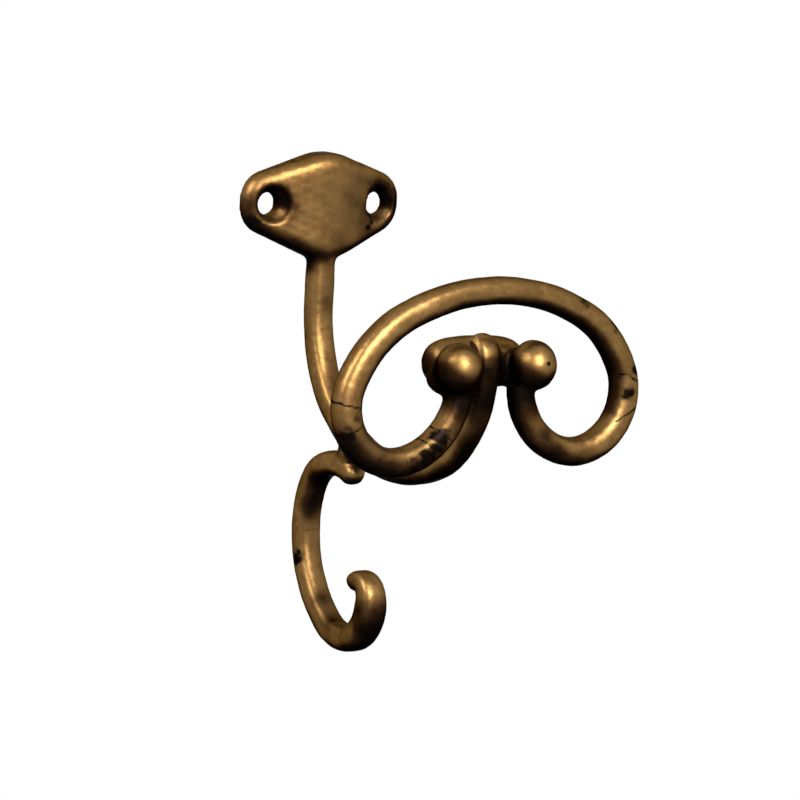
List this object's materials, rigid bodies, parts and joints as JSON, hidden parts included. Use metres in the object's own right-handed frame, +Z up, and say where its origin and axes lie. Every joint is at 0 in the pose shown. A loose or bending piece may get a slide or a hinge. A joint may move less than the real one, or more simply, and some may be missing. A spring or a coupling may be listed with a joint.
{
  "type": "coat hook",
  "caption": "Cast brass coat and hat hook: lozenge wall plate, hat arm ending in a scrolled bow, small curled lower hook.",
  "frame": {"origin": "centre of the wall plate's back face, midway between the two screw holes", "axes": "+X to the right seen from the front, +Y into the wall, +Z up"},
  "size_m": [0.0864, 0.0884, 0.1247],
  "materials": {
    "antique_brass": "antique satin, dark in the recesses"
  },
  "bodies": {
    "root": {"hook_casting": "antique_brass"}
  },
  "joints": []
}
